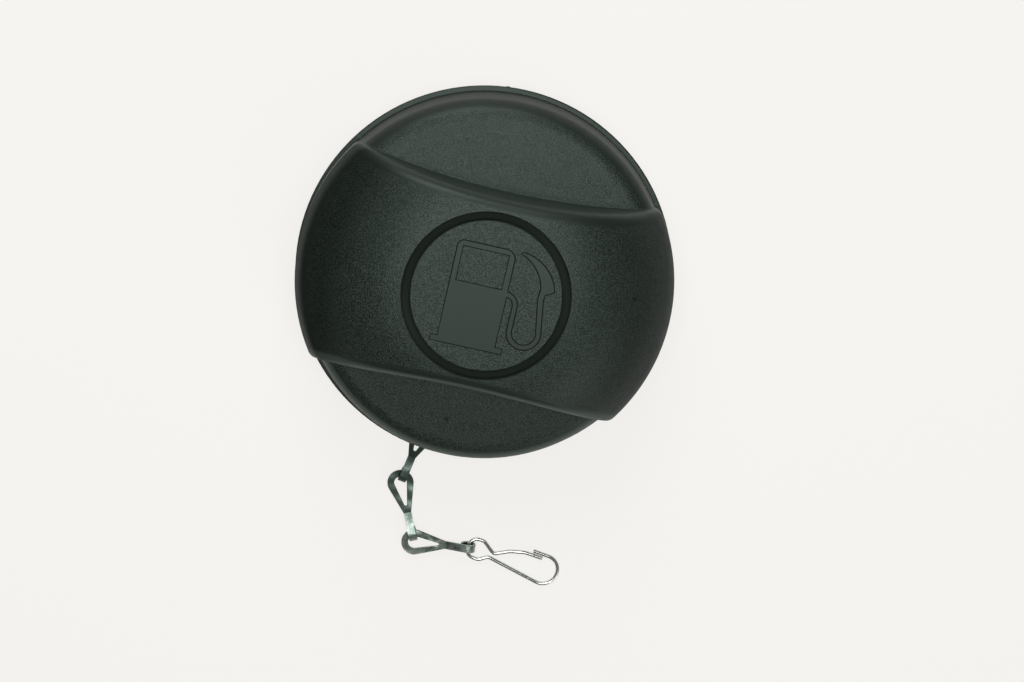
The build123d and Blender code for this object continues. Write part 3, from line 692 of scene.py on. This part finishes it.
def cut(piece, cutter):
    """Takes the cutter's share out of the piece and removes the cutter."""
    only(piece)
    difference = piece.modifiers.new("cut", "BOOLEAN")
    difference.operation = "DIFFERENCE"
    difference.solver = "EXACT"
    difference.material_mode = "TRANSFER"
    difference.object = cutter
    bpy.ops.object.modifier_apply(modifier=difference.name)
    bpy.data.objects.remove(cutter)
    print(piece.name, "after the cut:", len(piece.data.polygons), "faces")


print("material slots in the record:", len(set(piece_slots.values())))

# %% [markdown]
# ## Engrave the disc
#
# The slab goes first, so that the rod's groove runs along the edge of a floor that is already there. The
# walls of the disc are round and its top is flat: smooth shading by angle serves the walls, and the faces
# that look straight up are set flat, because long thin triangles would shade unevenly otherwise.

# %% Engraved disc
level_face = 0.99

sign_disc = merged_copy("centre_disc", "sign_disc")
cut(sign_disc, slab)
cut(sign_disc, rod)
only(sign_disc)
bpy.ops.object.shade_smooth_by_angle(angle=math.radians(32))
for face in sign_disc.data.polygons:
    if face.normal.z > level_face:
        face.use_smooth = False
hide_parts("centre_disc")
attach(sign_disc, "cap")
print("smooth faces in the sign:", sum(1 for face in sign_disc.data.polygons if face.material_index))

# %% [markdown]
# ## Spring coils
#
# A real spring gets shorter when the piece on it moves, and a rigid one would cut through its seat. Each
# coil is copied, shaded smooth and baked in place, and the CAD coil is hidden. The table names the two
# bodies that hold each coil's ends, the lower and the upper, but the copy is not blended between them.

# %% Spring copies
spring_ends = {
    "bayonet_spring": ("cap", "bayonet"),
    "pressure_spring": ("pressure_valve", "bayonet"),
    "vacuum_spring": ("pressure_valve", "vacuum_valve"),
}
for name, (lower, upper) in spring_ends.items():
    coil = merged_copy(name, name + "_coil")
    bpy.ops.object.shade_smooth_by_angle(angle=math.radians(40))
    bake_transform(coil)
    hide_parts(name)

# %% [markdown]
# ## Flash on the rim
#
# Where the two halves of the mould met, a little plastic was squeezed out and trimmed badly: two small
# burrs stand on the rim, opposite the chain. Each is a cube, drawn out into a wedge and rounded, and sits
# half inside the lip.

# %% Flash burrs
lip_low, lip_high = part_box("cover")[0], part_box("cover")[1]
lip_radius = lip_high.y
burrs = {  # angle, length, thickness and sink, in degrees and mm
    "rim_burr_1": (95.7, 1.6, 0.62, 0.1),
    "rim_burr_2": (89.2, 1.3, 0.5, 0.3),
}
burr_z = lip_low.z + 0.9 * mm
burr_height = 0.55 * mm
tip_share = (0.3, 1, 0.5)  # how much of the length and height is left at the tip
for name, (angle, length, thick, burr_sink) in burrs.items():
    bpy.ops.object.select_all(action="DESELECT")
    bpy.ops.mesh.primitive_cube_add(size=1, location=(0, 0, 0))
    burr = bpy.context.object
    burr.name = name
    bpy.ops.object.mode_set(mode="EDIT")
    bpy.ops.mesh.select_all(action="SELECT")
    bpy.ops.transform.resize(value=(length * mm, thick * mm, burr_height))
    bpy.ops.mesh.subdivide(number_cuts=2)
    bpy.ops.mesh.select_all(action="DESELECT")
    bpy.ops.object.mode_set(mode="OBJECT")
    for corner in burr.data.vertices:
        corner.select = corner.co.y > 0.3 * thick * mm
    bpy.ops.object.mode_set(mode="EDIT")
    bpy.ops.transform.resize(value=tip_share)
    bpy.ops.mesh.select_all(action="SELECT")
    turn_angle = math.radians(angle - 90)
    reach = lip_radius - burr_sink * mm
    place = (-reach * math.sin(turn_angle), reach * math.cos(turn_angle), burr_z)
    bpy.ops.transform.rotate(value=-turn_angle, orient_axis="Z", center_override=(0, 0, 0))
    bpy.ops.transform.translate(value=place)
    bpy.ops.object.mode_set(mode="OBJECT")
    rounder = burr.modifiers.new("round", "SUBSURF")
    rounder.levels = 2
    rounder.render_levels = 2
    bpy.ops.object.modifier_apply(modifier=rounder.name)
    bpy.ops.object.shade_smooth()
    burr.data.materials.append(finishes["cover_plastic"])
    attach(burr, "cap")
    print(name, "at", place)

# %% [markdown]
# ## Give each piece its finish
#
# Each CAD piece names a material slot in the record, and the finishes above carry the same names. Assigning
# to the slot of the object leaves the mesh as it is.

# %% Dress the pieces
for name, piece in cap.items():
    finish = finishes[piece_slots[name]]
    if not piece.material_slots:
        piece.data.materials.append(finish)
    for slot in piece.material_slots:
        slot.material = finish
print("dressed:", len(cap))

# %% [markdown]
# ## The floor
#
# The photograph's background is a pale warm white, the same to its corners. A white floor lit by a lamp is
# never that even. So the camera sees mostly a plain glow of that colour, and a share of the lit floor,
# which keeps the cap's soft shadow. Reflections see some of the glow as well, so the steel mirrors a pale
# room.

# %% Floor
floor_z = min(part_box(name)[0].z for name in cap)
paper_glow = (0.985, 0.965, 0.93, 1)
paper_colour = (0.8, 0.79, 0.77, 1)
seen_glow, mirrored_glow = 0.8, 0.4

bpy.ops.object.select_all(action="DESELECT")
bpy.ops.mesh.primitive_plane_add(size=4, location=(0, 0, floor_z))
floor = bpy.context.object
floor.name = "floor"
floor_finish = bpy.data.materials.new("paper_floor")
floor_finish.use_nodes = True
floor_field = Field(floor_finish.node_tree)
floor_shader = floor_finish.node_tree.nodes["Principled BSDF"]
floor_shader.inputs["Base Color"].default_value = paper_colour
floor_shader.inputs["Roughness"].default_value = 0.9

camera_ray = floor_field.node("LightPath", take="Is Camera Ray")
glossy_ray = floor_field.node("LightPath", take="Is Glossy Ray")
clear_ray = floor_field.node("LightPath", take="Is Transmission Ray")
glow = floor_field.node("Emission", {}, {"Color": paper_glow, "Strength": 1.0})
seen = (camera_ray + clear_ray) * seen_glow + glossy_ray * mirrored_glow
lit = Field(floor_finish.node_tree, floor_shader.outputs[0])
surface = floor_field.node("MixShader", {}, {0: seen, 1: lit, 2: glow})
output = floor_finish.node_tree.nodes["Material Output"]
floor_finish.node_tree.links.new(surface.socket, output.inputs["Surface"])
floor.data.materials.append(floor_finish)
print("floor at", floor_z)

# %% [markdown]
# ## The light
#
# One soft box hangs over the cap, a little behind it. Its reflection covers the back well and the crown,
# ends just before the front well and fades towards both ends of the grip. A second one, in front on the
# right, lights the lower edges, and a third, low behind the cap, draws the rounding between the crown and
# the back well. The room itself is dim: a bright world would turn the black plastic grey, because plastic
# mirrors a little of whatever stands round it.

# %% Lamps
def soft_box(name, place, width, length, watts):
    """A rectangular lamp that looks at the cap."""
    box = bpy.data.lights.new(name, "AREA")
    box.shape = "RECTANGLE"
    box.size = width
    box.size_y = length
    box.energy = watts
    lamp = bpy.data.objects.new(name, box)
    bpy.context.scene.collection.objects.link(lamp)
    aim = place.to_track_quat("Z", "Y").to_matrix().to_4x4()
    lamp.matrix_world = Matrix.Translation(place) @ aim
    print(name, "at", place, watts, "W")


soft_box("top_box", Vector((-0.01, 0.085, 0.83)), 0.5, 0.38, 3.1)
soft_box("front_box", Vector((0.89, -0.83, 0.8)), 0.66, 0.66, 3.0)
soft_box("back_box", Vector((-0.23, 0.72, 0.51)), 0.54, 0.54, 3.8)

# %% [markdown]
# ## The room
#
# The dim room is the world: one even colour with the faintest green, because the photograph's shadows lean
# that way. The Standard view keeps a colour about as it is written.

# %% Room
room_colour = (0.95, 1, 0.97, 1)
room_strength = 0.13

world = bpy.data.worlds.new("room")
world.use_nodes = True
world.node_tree.nodes["Background"].inputs["Color"].default_value = room_colour
world.node_tree.nodes["Background"].inputs["Strength"].default_value = room_strength
bpy.context.scene.world = world
bpy.context.scene.view_settings.view_transform = "Standard"
print("room strength", room_strength)
